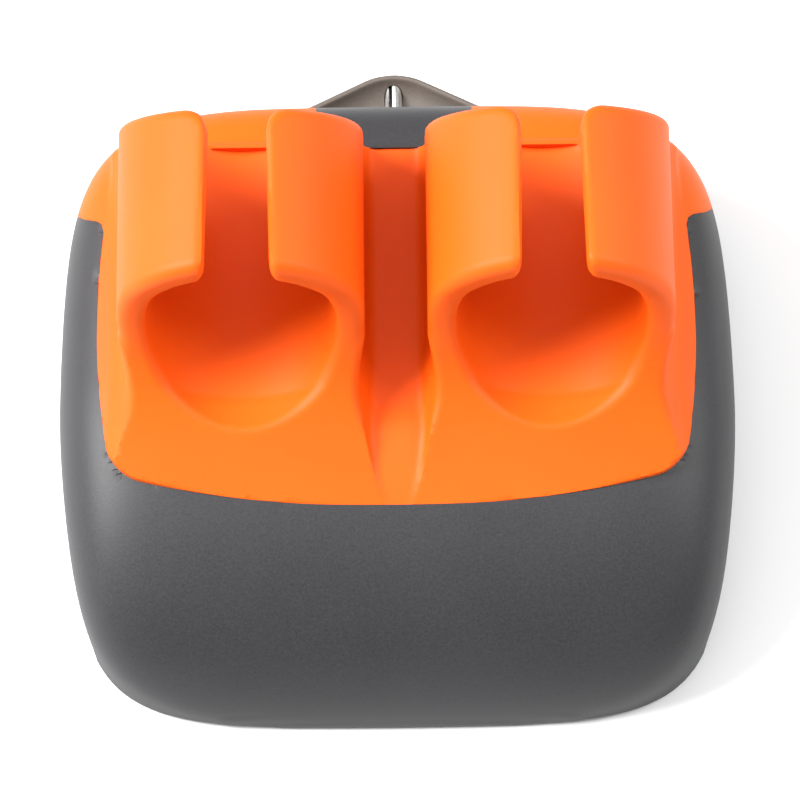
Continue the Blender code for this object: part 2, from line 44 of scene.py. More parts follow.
def linearColour(hexColour):
    # sRGB hex to the linear values that shaders take
    share = np.array([int(hexColour[i:i + 2], 16) for i in (1, 3, 5)]) / 255
    share = np.where(share <= 0.04045, share / 12.92, ((share + 0.055) / 1.055) ** 2.4)
    return (*share.tolist(), 1.0)


def addNode(tree, kind, settings=(), links=()):
    # one shader node: settings are its own options or its sockets' values, links are (node, output)
    node = tree.nodes.new("ShaderNode" + kind)
    for key, value in dict(settings).items():
        if isinstance(key, str) and hasattr(node, key):
            setattr(node, key, value)
        else:
            node.inputs[key].default_value = value
    for key, (source, output) in dict(links).items():
        tree.links.new(source.outputs[output], node.inputs[key])
    return node


def newMaterial(name):
    material = bpy.data.materials.new(name)
    material.use_nodes = True
    tree = material.node_tree
    return material, tree, tree.nodes["Principled BSDF"]


def setRamp(node, stops):
    ramp = node.color_ramp
    while len(ramp.elements) < len(stops):
        ramp.elements.new(0.5)
    for element, (place, colour) in zip(ramp.elements, stops):
        element.position = place
        element.color = colour


def gridFaces(rows, columns, wrapRows=False, wrapColumns=True):
    # quads between neighbouring points of a grid stored row by row
    r = np.arange(rows if wrapRows else rows - 1)[:, None]
    c = np.arange(columns if wrapColumns else columns - 1)[None, :]
    nextRow, nextColumn = (r + 1) % rows, (c + 1) % columns
    corners = [r * columns + c, r * columns + nextColumn,
               nextRow * columns + nextColumn, nextRow * columns + c]
    return np.stack([np.broadcast_to(k, (r.size, c.size)) for k in corners], -1).reshape(-1, 4)


def closedSurface(points, wrapRows=False):
    # A grid of points, rows by columns, whose columns close on themselves. Unless the rows close too,
    # the first and the last row are each shut by a fan to their own middle. Faces are turned outwards.
    rows, columns = points.shape[:2]
    vertices = points.reshape(-1, 3)
    quads = gridFaces(rows, columns, wrapRows)
    fans = np.zeros((0, 3), int)
    if not wrapRows:
        middles = np.stack([points[0].mean(0), points[-1].mean(0)])
        around = np.arange(columns)
        onward = (around + 1) % columns
        last = (rows - 1) * columns
        first = np.full(columns, len(vertices))
        fans = np.concatenate([np.stack([first, onward, around], -1),
                               np.stack([first + 1, last + around, last + onward], -1)])
        vertices = np.concatenate([vertices, middles])
    triangles = np.concatenate([quads[:, [0, 1, 2]], quads[:, [0, 2, 3]], fans])
    a, b, c = (vertices[triangles[:, i]] for i in range(3))
    if np.einsum("ij,ij->i", a, np.cross(b, c)).sum() < 0:
        quads, fans = quads[:, ::-1], fans[:, ::-1]
    return vertices, quads, fans


def makePiece(name, surfaces, material, body, node, sharpAngle=35):
    # surfaces are (vertices in mm, quads, triangles); they become one object that rides on a body
    vertices, faces, sizes, start = [], [], [], 0
    for points, quads, fans in surfaces:
        vertices.append(points)
        for block in (quads, fans):
            faces.append((block + start).ravel())
            sizes.append(np.full(len(block), block.shape[1]))
        start += len(points)
    vertices, faces, sizes = (np.concatenate(k) for k in (vertices, faces, sizes))
    mesh = bpy.data.meshes.new(name)
    mesh.vertices.add(len(vertices))
    mesh.vertices.foreach_set("co", (vertices * mm).astype(np.float32).ravel())
    mesh.loops.add(len(faces))
    mesh.loops.foreach_set("vertex_index", faces.astype(np.int32))
    mesh.polygons.add(len(sizes))
    mesh.polygons.foreach_set("loop_start", (np.cumsum(sizes) - sizes).astype(np.int32))
    mesh.update(calc_edges=True)
    mesh.validate()
    mesh.shade_smooth()
    mesh.set_sharp_from_angle(angle=math.radians(sharpAngle))
    mesh.materials.append(material)
    piece = bpy.data.objects.new(name, mesh)
    bpy.context.scene.collection.objects.link(piece)
    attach(piece, body)
    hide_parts(node)
    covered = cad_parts[node].data.materials  # the solid that the piece covers has the same finish
    covered.clear()
    covered.append(material)
    print(f"made {name}: {len(sizes)} faces")
    return piece


# A field is below zero inside a solid, and outside it is about the distance in mm.

def roundBoth(a, b, radius):
    # the part two solids share, with the edge between them turned to a radius
    u, v = np.maximum(a + radius, 0), np.maximum(b + radius, 0)
    return np.minimum(np.maximum(a, b), -radius) + np.hypot(u, v)


def filletJoin(a, b, radius):
    # two solids grown together, with a hollow fillet of that radius between them
    u, v = np.maximum(radius - a, 0), np.maximum(radius - b, 0)
    return np.maximum(np.minimum(a, b), radius) - np.hypot(u, v)


def smoothStep(value):
    value = np.clip(value, 0, 1)
    return value * value * (3 - 2 * value)


def meshField(field, low, high, step):
    # The skin of a field. Each cell of a cubic grid that the skin passes through gets one point, placed
    # by least squares where the tangent planes at the cell's crossed edges meet, so crisp edges stay
    # crisp; each crossed grid edge gives one quad between the four cells around it.
    axes = [np.arange(a, b + step, step) for a, b in zip(low, high)]
    shape = np.array([len(a) for a in axes])
    values = np.concatenate([field(*np.meshgrid(part, axes[1], axes[2], indexing="ij"))
                             for part in np.array_split(axes[0], 8)])
    inside = values < 0
    points, normals, cells, rising = [], [], [], []
    for axis in range(3):
        lowSide = [slice(None)] * 3
        highSide = [slice(None)] * 3
        lowSide[axis], highSide[axis] = slice(None, -1), slice(1, None)
        index = np.argwhere(inside[tuple(lowSide)] != inside[tuple(highSide)])
        onward = index + np.eye(3, dtype=int)[axis]
        start = np.stack([axes[k][index[:, k]] for k in range(3)], -1)
        end = start + step * np.eye(3)[axis]
        startValue, endValue = values[tuple(index.T)], values[tuple(onward.T)]
        for _ in range(3):  # false position, three times, finds where the skin cuts the edge
            share = (startValue / (startValue - endValue))[:, None]
            place = start + (end - start) * share
            value = field(*place.T)
            before = (value < 0) == (startValue < 0)
            start, startValue = np.where(before[:, None], place, start), np.where(before, value, startValue)
            end, endValue = np.where(before[:, None], end, place), np.where(before, endValue, value)
            startValue = np.where(startValue == endValue, startValue - 1e-9, startValue)
        nudge = 0.01
        value = field(*place.T)
        slope = np.stack([field(*(place + nudge * np.eye(3)[k]).T) - value for k in range(3)], -1)
        slope /= np.linalg.norm(slope, axis=1, keepdims=True) + 1e-12
        u, v = np.eye(3, dtype=int)[(axis + 1) % 3], np.eye(3, dtype=int)[(axis + 2) % 3]
        around = np.stack([index - u - v, index - v, index, index - u], 1)
        points.append(place)
        normals.append(slope)
        cells.append(around)
        rising.append(inside[tuple(index.T)])
    points, normals = np.concatenate(points), np.concatenate(normals)
    cells, rising = np.concatenate(cells), np.concatenate(rising)
    flat = (cells[..., 0] * shape[1] + cells[..., 1]) * shape[2] + cells[..., 2]
    used, corner = np.unique(flat.ravel(), return_inverse=True)
    corner = corner.reshape(-1)
    p, n = np.repeat(points, 4, 0), np.repeat(normals, 4, 0)
    total = lambda weights: np.bincount(corner, weights, len(used))
    count = total(np.ones(len(corner)))
    middle = np.stack([total(p[:, k]) for k in range(3)], -1) / count[:, None]
    pull = 0.06
    planes = np.stack([total(n[:, i] * n[:, j]) for i in range(3) for j in range(3)], -1).reshape(-1, 3, 3)
    reach = np.einsum("ij,ij->i", n, p)
    wanted = np.stack([total(n[:, k] * reach) for k in range(3)], -1) + pull * middle
    vertices = np.linalg.solve(planes + pull * np.eye(3), wanted[..., None])[..., 0]
    place = np.stack([used // (shape[1] * shape[2]), used // shape[2] % shape[1], used % shape[2]], -1)
    base = np.array([a[0] for a in axes]) + place * step
    vertices = np.clip(vertices, base - 0.05 * step, base + 1.05 * step)
    quads = corner.reshape(-1, 4)
    quads = np.where(rising[:, None], quads, quads[:, ::-1])
    return vertices, quads, np.zeros((0, 3), int)


def softRubber():
    # Thermoplastic rubber, moulded over the shell: a satin-matte skin that glows a little in its own
    # shadows, because light scatters a millimetre or two into it. Its grain is about 0.2 mm.
    material, tree, shader = newMaterial("thermoplastic rubber, moulded")
    place = addNode(tree, "TexCoord")
    cloud = addNode(tree, "TexNoise", {"Scale": 55, "Detail": 3}, {"Vector": (place, "Object")})
    tint = addNode(tree, "ValToRGB", links={"Fac": (cloud, "Fac")})
    setRamp(tint, [(0.3, linearColour("#D85104")), (0.7, linearColour("#DC5506"))])
    grain = addNode(tree, "TexNoise", {"Scale": 4200, "Detail": 2}, {"Vector": (place, "Object")})
    shine = addNode(tree, "MapRange", {"To Min": 0.50, "To Max": 0.60}, {"Value": (cloud, "Fac")})
    bump = addNode(tree, "Bump", {"Strength": 0.10, "Distance": 0.00002}, {"Height": (grain, "Fac")})
    tree.links.new(tint.outputs["Color"], shader.inputs["Base Color"])
    tree.links.new(shine.outputs["Result"], shader.inputs["Roughness"])
    tree.links.new(bump.outputs["Normal"], shader.inputs["Normal"])
    shader.inputs["IOR"].default_value = 1.5
    shader.inputs["Subsurface Weight"].default_value = 0.08
    shader.inputs["Subsurface Radius"].default_value = (1.0, 0.28, 0.06)
    shader.inputs["Subsurface Scale"].default_value = 0.0016
    shader.inputs["Specular IOR Level"].default_value = 0.2
    return material


def texturedAbs(name, dark, light, grainDepth, shineLevel):
    # ABS, moulded against spark-eroded steel: an even fine frost that breaks the highlight up. The frost's
    # pits are about 0.1 mm; they are drawn at 0.25 mm, because finer ones don't show.
    material, tree, shader = newMaterial(name)
    place = addNode(tree, "TexCoord")
    frost = addNode(tree, "TexNoise", {"Scale": 3400, "Detail": 3, "Roughness": 0.6},
                    {"Vector": (place, "Object")})
    cloud = addNode(tree, "TexNoise", {"Scale": 90, "Detail": 2}, {"Vector": (place, "Object")})
    both = addNode(tree, "Mix", {"data_type": "FLOAT", 0: 0.25}, {2: (frost, "Fac"), 3: (cloud, "Fac")})
    tint = addNode(tree, "ValToRGB", links={"Fac": (both, 0)})
    setRamp(tint, [(0.35, linearColour(dark)), (0.65, linearColour(light))])
    shine = addNode(tree, "MapRange", {"To Min": 0.42, "To Max": 0.56}, {"Value": (frost, "Fac")})
    bump = addNode(tree, "Bump", {"Strength": grainDepth, "Distance": 0.00004}, {"Height": (frost, "Fac")})
    tree.links.new(tint.outputs["Color"], shader.inputs["Base Color"])
    tree.links.new(shine.outputs["Result"], shader.inputs["Roughness"])
    tree.links.new(bump.outputs["Normal"], shader.inputs["Normal"])
    shader.inputs["IOR"].default_value = 1.53
    shader.inputs["Specular IOR Level"].default_value = shineLevel
    return material


def brushedSteel(name, hexColour, roughness, stretch):
    # Stainless steel, rolled and brushed: fine lines along its length, 0.1 mm apart.
    material, tree, shader = newMaterial(name)
    place = addNode(tree, "TexCoord")
    turn = addNode(tree, "Mapping", {"Scale": stretch}, {"Vector": (place, "Object")})
    lines = addNode(tree, "TexNoise", {"Scale": 1.0, "Detail": 4}, {"Vector": (turn, "Vector")})
    tint = addNode(tree, "ValToRGB", links={"Fac": (lines, "Fac")})
    base = linearColour(hexColour)
    setRamp(tint, [(0.25, tuple(k * 0.86 for k in base[:3]) + (1,)), (0.75, base)])
    shine = addNode(tree, "MapRange", {"To Min": roughness * 0.75, "To Max": roughness * 1.3},
                    {"Value": (lines, "Fac")})
    bump = addNode(tree, "Bump", {"Strength": 0.12, "Distance": 0.00002}, {"Height": (lines, "Fac")})
    tree.links.new(tint.outputs["Color"], shader.inputs["Base Color"])
    tree.links.new(shine.outputs["Result"], shader.inputs["Roughness"])
    tree.links.new(bump.outputs["Normal"], shader.inputs["Normal"])
    shader.inputs["Metallic"].default_value = 1.0
    return material


rubber = softRubber()
shellAbs = texturedAbs("ABS, spark-textured", "#28282A", "#303032", 0.3, 0.26)
frameAbs = texturedAbs("ABS, satin moulded", "#524A44", "#5A524B", 0.12, 0.4)
bladeSteel = brushedSteel("stainless steel, brushed", "#D6D6D2", 0.26, (9000, 300, 9000))
pinSteel = brushedSteel("stainless steel, rolled bright", "#F0F0EE", 0.2, (6000, 500, 6000))
screwSteel = brushedSteel("steel, nickel plated", "#D0CCC4", 0.22, (3000, 3000, 800))
print("materials made")


bodyShape = {
    "halfWidth": 36.75, "frontReach": 32.7, "rearReach": 32.35, "rearBow": 0.028, "centreY": -3.0,
    "height": 22.0, "frontLean": 3.0, "leanFull": 25.0, "frontOutline": 4.8, "rearOutline": 5.2,
    "frontCrest": 8.0, "rearCrest": 2.0, "section": 5.6, "frontTaper": 0.018, "rearTaper": 0.048,
    "taperFull": 0.85,
}


def leanShift(y, z):
    # how far the front wall stands ahead: nothing at the crown, all of it at the foot
    s = bodyShape
    return s["frontLean"] * (1 - z / s["height"]) * smoothStep(y / s["leanFull"])


def domeField(x, y, z, inset=0.0):
    # At each place along the body, its section is a superellipse as high as the crest line and as wide
    # as the outline there. Crest and outline are superellipses themselves, and the rear end bows out.
    # The field is the section's formula less one, over its own slope, which makes it a distance.
    s = bodyShape
    level = np.clip(z, 0, None)
    straight = y - leanShift(y - leanShift(y, level), level) - s["centreY"]
    fore = straight > 0
    half, height, p = s["halfWidth"] - inset, s["height"] - inset, s["section"]
    bow = 1 + s["rearBow"] * (1 - np.clip(x / half, -1, 1) ** 2)
    reach = np.where(fore, s["frontReach"] - inset, (s["rearReach"] - inset) * bow)
    along = np.abs(straight) / reach
    outline = np.where(fore, s["frontOutline"], s["rearOutline"])
    crest = np.where(fore, s["frontCrest"], s["rearCrest"])
    taper = np.where(fore, s["frontTaper"], s["rearTaper"])
    outlineLeft = np.clip(1 - along ** outline, 1e-3, None)
    crestLeft = np.clip(1 - along ** crest, 1e-3, None)
    wide = half * outlineLeft ** (1 / outline) * (1 - taper * smoothStep(along / s["taperFull"]))
    high = height * crestLeft ** (1 / crest)
    across, up = np.abs(x) / wide, level / high
    size = (across ** p + up ** p + 1e-12) ** (1 / p)
    acrossShare, upShare = (across / size) ** (p - 1), (up / size) ** (p - 1)
    fall = (acrossShare * across * along ** (outline - 1) / outlineLeft
            + upShare * up * along ** (crest - 1) / crestLeft) / reach
    slope = np.sqrt((acrossShare / wide) ** 2 + (upShare / high) ** 2 + fall ** 2)
    return np.maximum((size - 1) / (slope + 1e-4), (along - 1) * reach)


# The parting line between rubber and shell.
padShape = {
    "halfWidth": 32.08, "widestY": 4.0, "pinch": 0.0053, "rearY": -17.55, "rearRise": 3.3, "riseAt": 28.5,
    "risePower": 2.6, "cornerRadius": 3.0, "crease": 22.9, "keyHalf": 8.5, "cheekY": 15.9, "cheekZ": 18.6,
    "cheekRake": 0.58, "cheekFoot": 6.0, "cheekRound": 1.2, "cheekFootRound": 1.0,
}


def padField(x, y, z):
    # Below zero over the rubber. In plan: bowed sides, a bowed rear edge and round rear corners; the
    # cheeks round the front corners have a raked rear edge and a level foot; a plain key parts them.
    p = padShape
    side = np.abs(x) - p["halfWidth"] + p["pinch"] * (y - p["widestY"]) ** 2
    rear = p["rearY"] + p["rearRise"] * (np.abs(x) / p["riseAt"]) ** p["risePower"] - y
    pad = roundBoth(side, rear, p["cornerRadius"])
    pad = np.maximum(pad, 12.0 - z)
    rake = (p["cheekY"] + (p["cheekZ"] - z) * p["cheekRake"] - y) / math.hypot(1, p["cheekRake"])
    cheek = roundBoth(rake, p["cheekFoot"] - z, p["cheekFootRound"])
    whole = filletJoin(pad, cheek, p["cheekRound"])
    key = np.maximum(np.abs(x) - p["keyHalf"], p["crease"] - y)
    return np.maximum(whole, -key)


gripShape = {
    "skin": 2.0, "edgeRound": 0.15, "floorSink": 0.85, "sinkStart": -13.0, "sinkFull": -6.0,
    "centreX": 16.2, "bore": 10.0, "outer": 12.9, "centreZ": 32.0, "tunnelFall": 0.85,
    "waistZ": 27.0, "waist": 11.9, "flare": 0.05, "flareEnd": 7.2, "waistFillet": 2.0, "footFillet": 0.6,
    "frontY": 17.2, "frontRake": 0.27, "frontRound": 0.9, "rearY": -0.85, "rampFootY": -9.6,
    "rampAngle": 47.0, "footRound": 5.0, "kneeRound": 4.0, "rearRound": 1.35,
    "slotHalf": 2.8, "slotTaper": 0.02, "slotFrontRound": 3.0, "slotRearRound": 1.5,
    "boreRound": 1.0, "boreRise": 0.35, "boreRiseY": -6.0,
    "boreSink": 0.3, "fadeStart": -12.0, "fadeLength": 6.0, "fadeAhead": 3.0, "lipRound": 0.3,
    "crisp": 0.05, "gateHalf": 13.3, "gateZ": 10.6, "gateY": 18.0, "step": 0.42,
}


def loopField(x, y, z):
    # One finger loop, before its rear and its bore are cut: a tube that runs fore and aft on a base
    # that flares towards its foot, stopped by a raked front, with a slot along its top.
    g = gripShape
    offset = np.abs(np.abs(x) - g["centreX"])
    tube = np.hypot(offset, z - g["centreZ"]) - g["outer"]
    below = np.clip(g["waistZ"] - z, 0, g["flareEnd"])
    base = np.maximum(offset - g["waist"] - g["flare"] * below ** 2, z - g["waistZ"] - 1.5)
    whole = filletJoin(tube, base, g["waistFillet"])
    top = g["centreZ"] + g["outer"]
    front = (y - g["frontY"] - g["frontRake"] * (top - z)) / math.hypot(1, g["frontRake"])
    slot = np.where(z > g["centreZ"], g["slotHalf"] - g["slotTaper"] * (y - 8) - offset, -20.0)
    return roundBoth(whole, roundBoth(front, slot, g["slotFrontRound"]), g["frontRound"]), slot


def gripField(x, y, z):
    # The dome's top, with a finger floor sunk behind the front lip; the loops grown on to it; their
    # rear cut to a ramp that runs out on the dome; then the bores, the parting line and the hollow.
    g = gripShape
    dome = domeField(x, y, z)
    behind = padShape["crease"] - y
    sink = g["floorSink"] * smoothStep((y - g["sinkStart"]) / (g["sinkFull"] - g["sinkStart"]))
    floor = filletJoin(z - bodyShape["height"] + sink, behind, g["lipRound"])
    loop, slot = loopField(x, y, z)
    whole = filletJoin(roundBoth(dome, floor, g["lipRound"]), loop, g["footFillet"])
    slope = math.radians(g["rampAngle"])
    ramp = (z - bodyShape["height"]) * math.cos(slope) - (y - g["rampFootY"]) * math.sin(slope)
    rear = filletJoin(g["rearY"] - y, filletJoin(ramp, dome, g["footRound"]), g["kneeRound"])
    fade = smoothStep((y - g["fadeStart"]) / g["fadeLength"])
    crisp = g["crisp"]
    rear = roundBoth(rear, slot, g["slotRearRound"])
    whole = roundBoth(whole, rear, crisp + (g["rearRound"] - crisp) * fade)
    fall = g["tunnelFall"] * np.clip((y - g["rampFootY"]) / (padShape["crease"] - g["rampFootY"]), 0, 1)
    rise = g["boreRise"] * np.clip(g["boreRiseY"] - y, 0, None)
    axisZ = bodyShape["height"] - g["boreSink"] + g["bore"] - fall + rise
    bore = np.hypot(np.abs(x) - g["centreX"], z - axisZ) - g["bore"]
    bore = np.maximum(bore, -roundBoth(z - bodyShape["height"], behind, g["lipRound"]))
    fade = fade * smoothStep(behind / g["fadeAhead"])
    whole = roundBoth(whole, -bore, crisp + (g["boreRound"] - crisp) * fade)
    whole = roundBoth(whole, padField(x, y, z), g["edgeRound"])
    whole = np.maximum(whole, -domeField(x, y, z, g["skin"]))
    gate = np.maximum(np.abs(x) - g["gateHalf"], z - g["gateZ"])  # clears the beak behind the front wall
    return np.maximum(whole, -np.maximum(gate, g["gateY"] - y))


gripSkin = meshField(gripField, (-37.6, -18.9, 5.2), (37.6, 34.2, 45.2), gripShape["step"])
makePiece("fingerGrip", [gripSkin],
          rubber, "housing", "finger_grip")


shellShape = {
    "gap": -0.02, "recess": 2.05, "wall": 4.3, "archHeight": 7.2, "archY": -3.5, "archHalf": 24.0,
    "archPower": 3.0, "gateHalf": 13.0, "gateZ": 10.3, "gateY": 20.0, "gateRound": 0.3, "rimRound": 0.85,
    "foot": 0.06, "bossRadius": 2.6, "bossFoot": 10.3, "bossFillet": 0.8, "roofLeft": 3.0, "pilot": 1.25,
    "pilotTop": 17.0,
    "bosses": ((22.5, 15.0), (20.5, -19.0)), "step": 0.46,
}


def shellField(x, y, z):
    # The dome less its hollow, less a recess for the rubber, less an arch in each side and a gate for
    # the beak, with four screw bosses hanging from the roof.
    s = shellShape
    dome = domeField(x, y, z)
    hollow = domeField(x, y, z, s["wall"])
    recess = np.maximum(padField(x, y, z) - s["gap"], -domeField(x, y, z, s["recess"]))
    whole = np.maximum(dome, -recess)
    for bossX, bossY in s["bosses"]:
        reach = np.hypot(np.abs(x) - bossX, y - bossY)
        boss = np.maximum(np.maximum(reach - s["bossRadius"], s["bossFoot"] - z), dome + s["roofLeft"])
        hollow = -filletJoin(-hollow, boss, s["bossFillet"])
    whole = np.maximum(whole, -hollow)
    for bossX, bossY in s["bosses"]:
        reach = np.hypot(np.abs(x) - bossX, y - bossY)
        whole = np.maximum(whole, -np.maximum(reach - s["pilot"], z - s["pilotTop"]))
    t = np.abs((y - s["archY"]) / s["archHalf"])
    rise = np.clip(z, 0, None) / s["archHeight"]
    size = (t ** s["archPower"] + rise ** s["archPower"] + 1e-9) ** (1 / s["archPower"])
    slope = np.hypot((t / size) ** 2 / s["archHalf"], (rise / size) ** 2 / s["archHeight"])
    whole = roundBoth(whole, (1 - size) / (slope + 1e-6), s["rimRound"])
    whole = roundBoth(whole, s["foot"] - z, s["rimRound"])
    gate = np.maximum(np.maximum(np.abs(x) - s["gateHalf"], z - s["gateZ"]), s["gateY"] - y)
    return roundBoth(whole, -gate, s["gateRound"])


makePiece("topShell", [meshField(shellField, (-37.9, -37.4, -0.9), (37.9, 33.4, 22.8), shellShape["step"])],
          shellAbs, "housing", "top_shell")


frameShape = {
    "low": 7.5, "high": 10.0, "inset": 4.6, "edgeRound": 0.3, "windowHalf": 15.0, "windowFront": 22.4,
    "windowRear": -25.9, "windowRound": 1.5, "bearingHalf": 6.7, "bearingLow": 4.6, "frontBearingEnd": 25.4,
    "frontBearingTop": 13.2, "rearBearingEnd": -31.0, "pegX": 5.4, "pegZ": 12.1, "pegRadius": 0.8,
    "pegY": 20.8, "pivotZ": 8.2, "pinHole": 1.06, "pinEnd": 36.62, "screwHole": 1.3, "counterbore": 2.2,
    "counterboreTop": 8.8, "bearingFillet": 0.5, "pegFillet": 0.2, "pegRound": 0.25, "pegRoot": 0.6,
    "step": 0.4,
}
beakShape = {
    "tipCentreY": 29.6, "tipRadius": 7.5, "flankAngle": 26.7, "half": 12.72, "rootY": 23.4, "low": 3.4,
    "high": 10.0, "rim": 0.55, "bowlSlope": 0.55, "bowlFloor": 7.9, "bowlRound": 1.6, "bowlRear": 26.0,
    "edgeRound": 0.3, "sideRound": 0.8, "bowlRearRound": 0.6, "rimRound": 0.15, "step": 0.22,
}


def boxField(low, high, at, radius):
    # a block between two corners, with its edges turned to a radius
    centre, half = (np.array(low) + high) / 2, (np.array(high) - low) / 2
    x, y, z = (np.abs(p - c) - h for p, c, h in zip(at, centre, half))
    return roundBoth(roundBoth(x, y, radius), z, radius)


def beakField(x, y, z):
    # In plan: straight sides, two raked flanks and a round tip between them. Its top is hollowed to a
    # shallow bowl with a thin rim, so the pin lies open in it.
    b = beakShape
    angle = math.radians(b["flankAngle"])
    side, ahead = np.abs(x), y - b["tipCentreY"]
    flank = side * math.sin(angle) + ahead * math.cos(angle) - b["tipRadius"]
    tip = np.hypot(side, ahead) - b["tipRadius"]
    plan = np.where(side * math.cos(angle) < ahead * math.sin(angle), tip, flank)
    plan = np.maximum(roundBoth(plan, side - b["half"], b["sideRound"]), b["rootY"] - y)
    middle, half = (b["low"] + b["high"]) / 2, (b["high"] - b["low"]) / 2
    outside = roundBoth(plan, np.abs(z - middle) - half, b["edgeRound"])
    wall = (plan + b["rim"] + b["bowlSlope"] * (b["high"] - z)) / math.hypot(1, b["bowlSlope"])
    bowl = roundBoth(wall, b["bowlFloor"] - z, b["bowlRound"])
    bowl = roundBoth(bowl, b["bowlRear"] - y, b["bowlRearRound"])
    whole = roundBoth(outside, -bowl, b["rimRound"])
    pin = np.hypot(x, z - frameShape["pivotZ"]) - frameShape["pinHole"]
    return np.maximum(whole, -np.maximum(pin, y - frameShape["pinEnd"]))


def frameField(x, y, z):
    # A flat plate with a window for the blade, a bearing at each end, two stop pegs and four
    # counterbored screw holes, all inside the shell.
    f = frameShape
    r, at = f["edgeRound"], (x, y, z)
    plate = boxField((-60, -60, f["low"]), (60, 60, f["high"]), at, r)
    window = boxField((-f["windowHalf"], f["windowRear"], -60), (f["windowHalf"], f["windowFront"], 60), at,
                      f["windowRound"])
    plate = roundBoth(plate, -window, r)
    rear = boxField((-f["bearingHalf"], f["rearBearingEnd"], f["bearingLow"]),
                    (f["bearingHalf"], f["windowRear"] + 0.01, f["high"] - 0.1), at, r)
    front = boxField((-f["bearingHalf"], f["windowFront"], f["bearingLow"]),
                     (f["bearingHalf"], f["frontBearingEnd"], f["frontBearingTop"]), at, r)
    whole = filletJoin(filletJoin(plate, rear, f["bearingFillet"]), front, f["bearingFillet"])
    whole = roundBoth(whole, domeField(x, y, z, f["inset"]), r)
    peg = np.hypot(np.abs(x) - f["pegX"], z - f["pegZ"]) - f["pegRadius"]
    peg = roundBoth(peg, np.maximum(f["pegY"] - y, y - f["windowFront"] - f["pegRoot"]), f["pegRound"])
    whole = filletJoin(whole, peg, f["pegFillet"])
    whole = np.maximum(whole, f["pinHole"] - np.hypot(x, z - f["pivotZ"]))
    for bossX, bossY in shellShape["bosses"]:
        reach = np.hypot(np.abs(x) - bossX, y - bossY)
        whole = np.maximum(whole, -(reach - f["screwHole"]))
        whole = np.maximum(whole, -np.maximum(reach - f["counterbore"], z - f["counterboreTop"]))
    return whole


makePiece("bladeFrame", [meshField(frameField, (-33.2, -32.6, 3.0), (33.2, 29.6, 13.7), frameShape["step"]),
                         meshField(beakField, (-13.2, 23.1, 3.1), (13.2, 37.5, 10.3), beakShape["step"])],
          frameAbs, "housing", "blade_frame")


bladeShape = {
    "front": 21.9, "rear": -25.4, "half": 6.5, "curve": 8.7, "thickness": 0.6, "drop": 2.7, "pivotZ": 8.2,
    "slotHalf": 1.2, "slotMargin": 4.5, "slotLift": 0.5, "earThickness": 0.8, "earHalf": 3.0, "earRise": 2.2,
    "pinHole": 1.15, "around": 240, "across": 14,
}


def roundedOutline(half, low, high, radius, count):
    # A rectangle with round corners, by the angle round it: a superellipse whose power makes corners
    # of about that radius.
    angle = np.linspace(0, math.tau, count, endpoint=False)
    power = 2 + 1.6 * half / radius
    cosine, sine = np.cos(angle), np.sin(angle)
    x = half * np.sign(cosine) * np.abs(cosine) ** (2 / power)
    y = (high - low) / 2 * np.sign(sine) * np.abs(sine) ** (2 / power) + (low + high) / 2
    return x, y


def bladeStrip():
    # Two parameters: round the strip, and from the slot's edge out to the strip's edge over the top,
    # then back underneath. The strip is bent to an arc across; both edges of the slot are ground
    # thin and set up a little, which is what cuts.
    b = bladeShape
    slotX, slotY = roundedOutline(b["slotHalf"], b["rear"] + b["slotMargin"], b["front"] - b["slotMargin"],
                                  1.0, b["around"])
    edgeX, edgeY = roundedOutline(b["half"], b["rear"], b["front"], 1.0, b["around"])
    out = (1 - np.cos(np.linspace(0, math.pi, b["across"]))) / 2
    out = np.concatenate([out, out[::-1]])[:, None]
    over = np.repeat([1.0, -1.0], b["across"])[:, None]
    x = slotX + (edgeX - slotX) * out
    y = slotY + (edgeY - slotY) * out
    thin = np.clip(np.minimum(out * 9, (1 - out) * 14), 0.12, 1)
    arc = b["pivotZ"] - b["drop"] + b["curve"] - np.sqrt(b["curve"] ** 2 - x ** 2)
    lift = b["slotLift"] * np.clip(1 - out * 5, 0, 1) ** 2 * np.abs(slotX / b["slotHalf"]) ** 2
    z = arc + lift + over * thin * b["thickness"] / 2
    return closedSurface(np.stack([x, y, z], -1), wrapRows=True)


def bladeEar(low):
    # An upright half disc at one end of the strip with a hole for the pin: round the hole, and from
    # the hole's edge out to the rim on one face, then back on the other.
    b = bladeShape
    angle = np.linspace(0, math.tau, 64, endpoint=False)
    foot = b["drop"] - 0.25
    rimX = b["earRise"] * np.cos(angle)
    rimZ = b["earRise"] * np.sin(angle)
    wide = np.clip(-np.sin(angle), 0, 1)
    rimX = rimX + (b["earHalf"] - b["earRise"]) * np.sign(np.cos(angle)) * wide * np.abs(np.cos(angle)) ** 0.3
    rimZ = np.where(rimZ < 0, rimZ * foot / b["earRise"], rimZ)
    out = np.array([0.0, 0.06, 0.5, 0.94, 1.0, 1.0, 0.94, 0.5, 0.06, 0.0])[:, None]
    depth = np.array([0.06, 0.0, 0.0, 0.0, 0.06, 0.94, 1.0, 1.0, 1.0, 0.94])[:, None]
    x = b["pinHole"] * np.cos(angle) * (1 - out) + rimX * out
    z = b["pivotZ"] + b["pinHole"] * np.sin(angle) * (1 - out) + rimZ * out
    y = low + b["earThickness"] * depth + 0 * x
    return closedSurface(np.stack([x, y, z], -1), wrapRows=True)


makePiece("swivelBlade", [bladeStrip(), bladeEar(bladeShape["rear"] + 0.02),
                          bladeEar(bladeShape["front"] - bladeShape["earThickness"] - 0.02)],
          bladeSteel, "blade", "swivel_blade")


pinShape = {"radius": 1.0, "bore": 0.55, "slit": 0.45, "slitAngle": 112.0, "chamfer": 0.18, "sides": 72}


